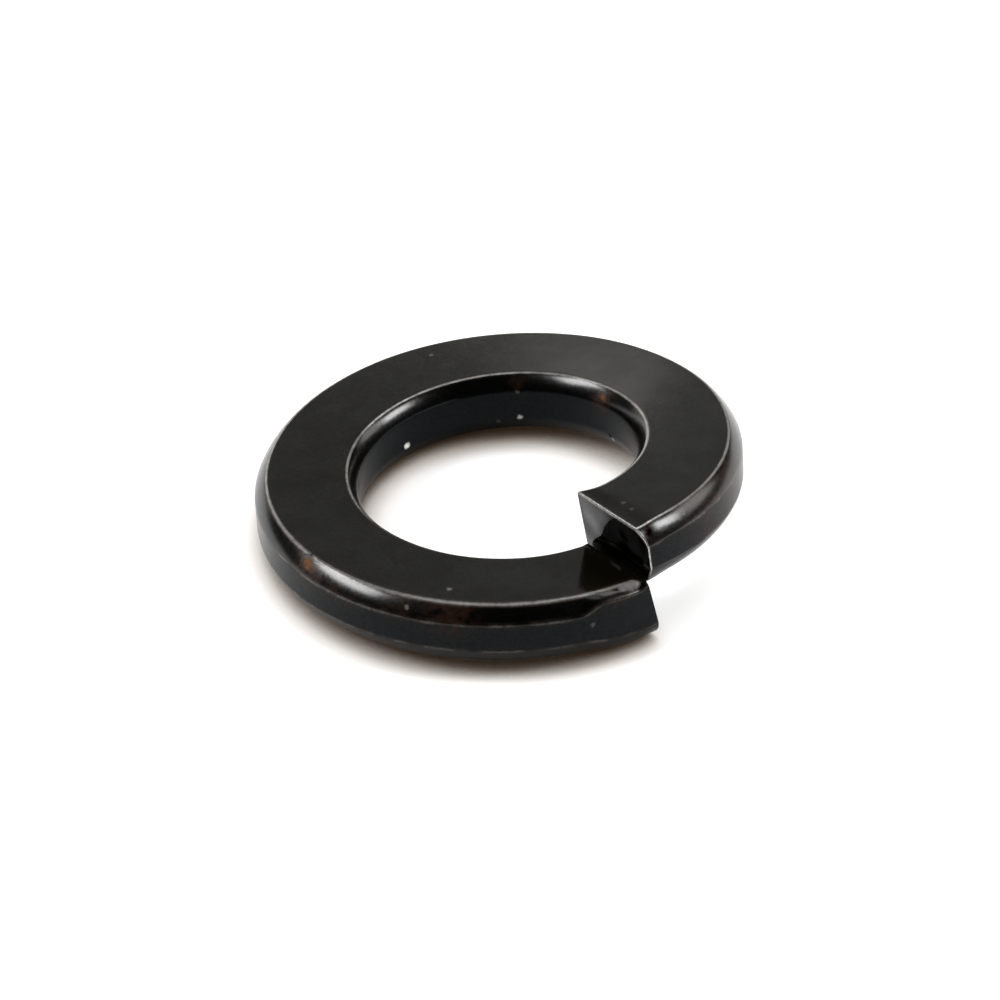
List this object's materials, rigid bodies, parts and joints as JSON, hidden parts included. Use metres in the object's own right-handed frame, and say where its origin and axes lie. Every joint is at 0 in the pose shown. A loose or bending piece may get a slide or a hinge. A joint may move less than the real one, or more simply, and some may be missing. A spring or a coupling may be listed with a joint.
{
  "type": "spring lock washer",
  "caption": "Black helical spring lock washer of flat steel wire, square cut ends, left-hand wound, for a screw or stud.",
  "frame": {"origin": "on the bore axis, level with the lowest point of the low end", "axes": "+Z along the bore axis towards the high end; the gap faces -Y"},
  "size_m": [0.0146, 0.0146, 0.0038],
  "materials": {
    "blackened_steel": "black oxide over smooth steel, satin, worn bright along the edges, a few rust-brown spots"
  },
  "bodies": {
    "root": {"washer": "blackened_steel"}
  },
  "joints": []
}
